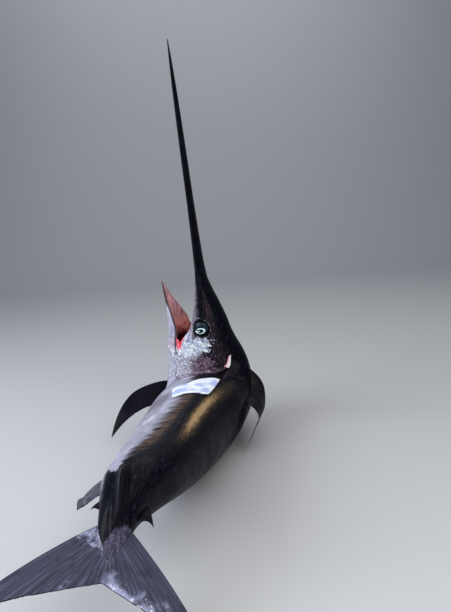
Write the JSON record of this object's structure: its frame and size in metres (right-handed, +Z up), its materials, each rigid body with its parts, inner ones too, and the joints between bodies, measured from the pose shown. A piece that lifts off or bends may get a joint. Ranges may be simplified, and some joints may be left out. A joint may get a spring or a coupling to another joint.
{
  "type": "swordfish",
  "caption": "Life-size swordfish lying on its side with its head and long flat sword raised, its mouth open, forked tail spread, and a blank paper slip on its flank.",
  "frame": {"origin": "centre of the bounding box's bottom", "axes": "+Z up from the floor along the raised sword; the body runs away along +Y from the tail to the head, with the belly on -X"},
  "size_m": [0.557, 1.2058, 1.1564],
  "materials": {
    "anal_fin": "wet, finely ridged",
    "breast_fin_left": "wet, finely ridged",
    "breast_fin_right": "wet, finely ridged",
    "chest": "wet skin",
    "dorsal_fin": "wet, finely ridged",
    "dorsal_fin_hanging": "wet, finely ridged",
    "eye_left": "wet, glossy",
    "eye_right": "wet, glossy",
    "flank": "wet skin",
    "gill_left": "wet, soft",
    "gill_right": "wet, soft",
    "head": "wet skin",
    "lower_jaw": "wet skin",
    "paper_slip": "matt",
    "rear": "wet skin",
    "second_anal_fin": "wet, finely ridged",
    "second_dorsal_fin": "wet, finely ridged",
    "shoulder": "wet skin",
    "sword": "wet skin",
    "tail_lobe_back": "wet, finely ridged",
    "tail_lobe_belly": "wet, finely ridged",
    "tail_stalk": "wet skin"
  },
  "bodies": {
    "root": {"anal_fin": "anal_fin", "breast_fin_left": "breast_fin_left", "breast_fin_right": "breast_fin_right", "chest": "chest", "dorsal_fin": "dorsal_fin", "dorsal_fin_hanging": "dorsal_fin_hanging", "eye_left": "eye_left", "eye_right": "eye_right", "flank": "flank", "gill_left": "gill_left", "gill_right": "gill_right", "head": "head", "lower_jaw": "lower_jaw", "paper_slip": "paper_slip", "rear": "rear", "second_anal_fin": "second_anal_fin", "second_dorsal_fin": "second_dorsal_fin", "shoulder": "shoulder", "sword": "sword", "tail_lobe_back": "tail_lobe_back", "tail_lobe_belly": "tail_lobe_belly", "tail_stalk": "tail_stalk"}
  },
  "joints": []
}
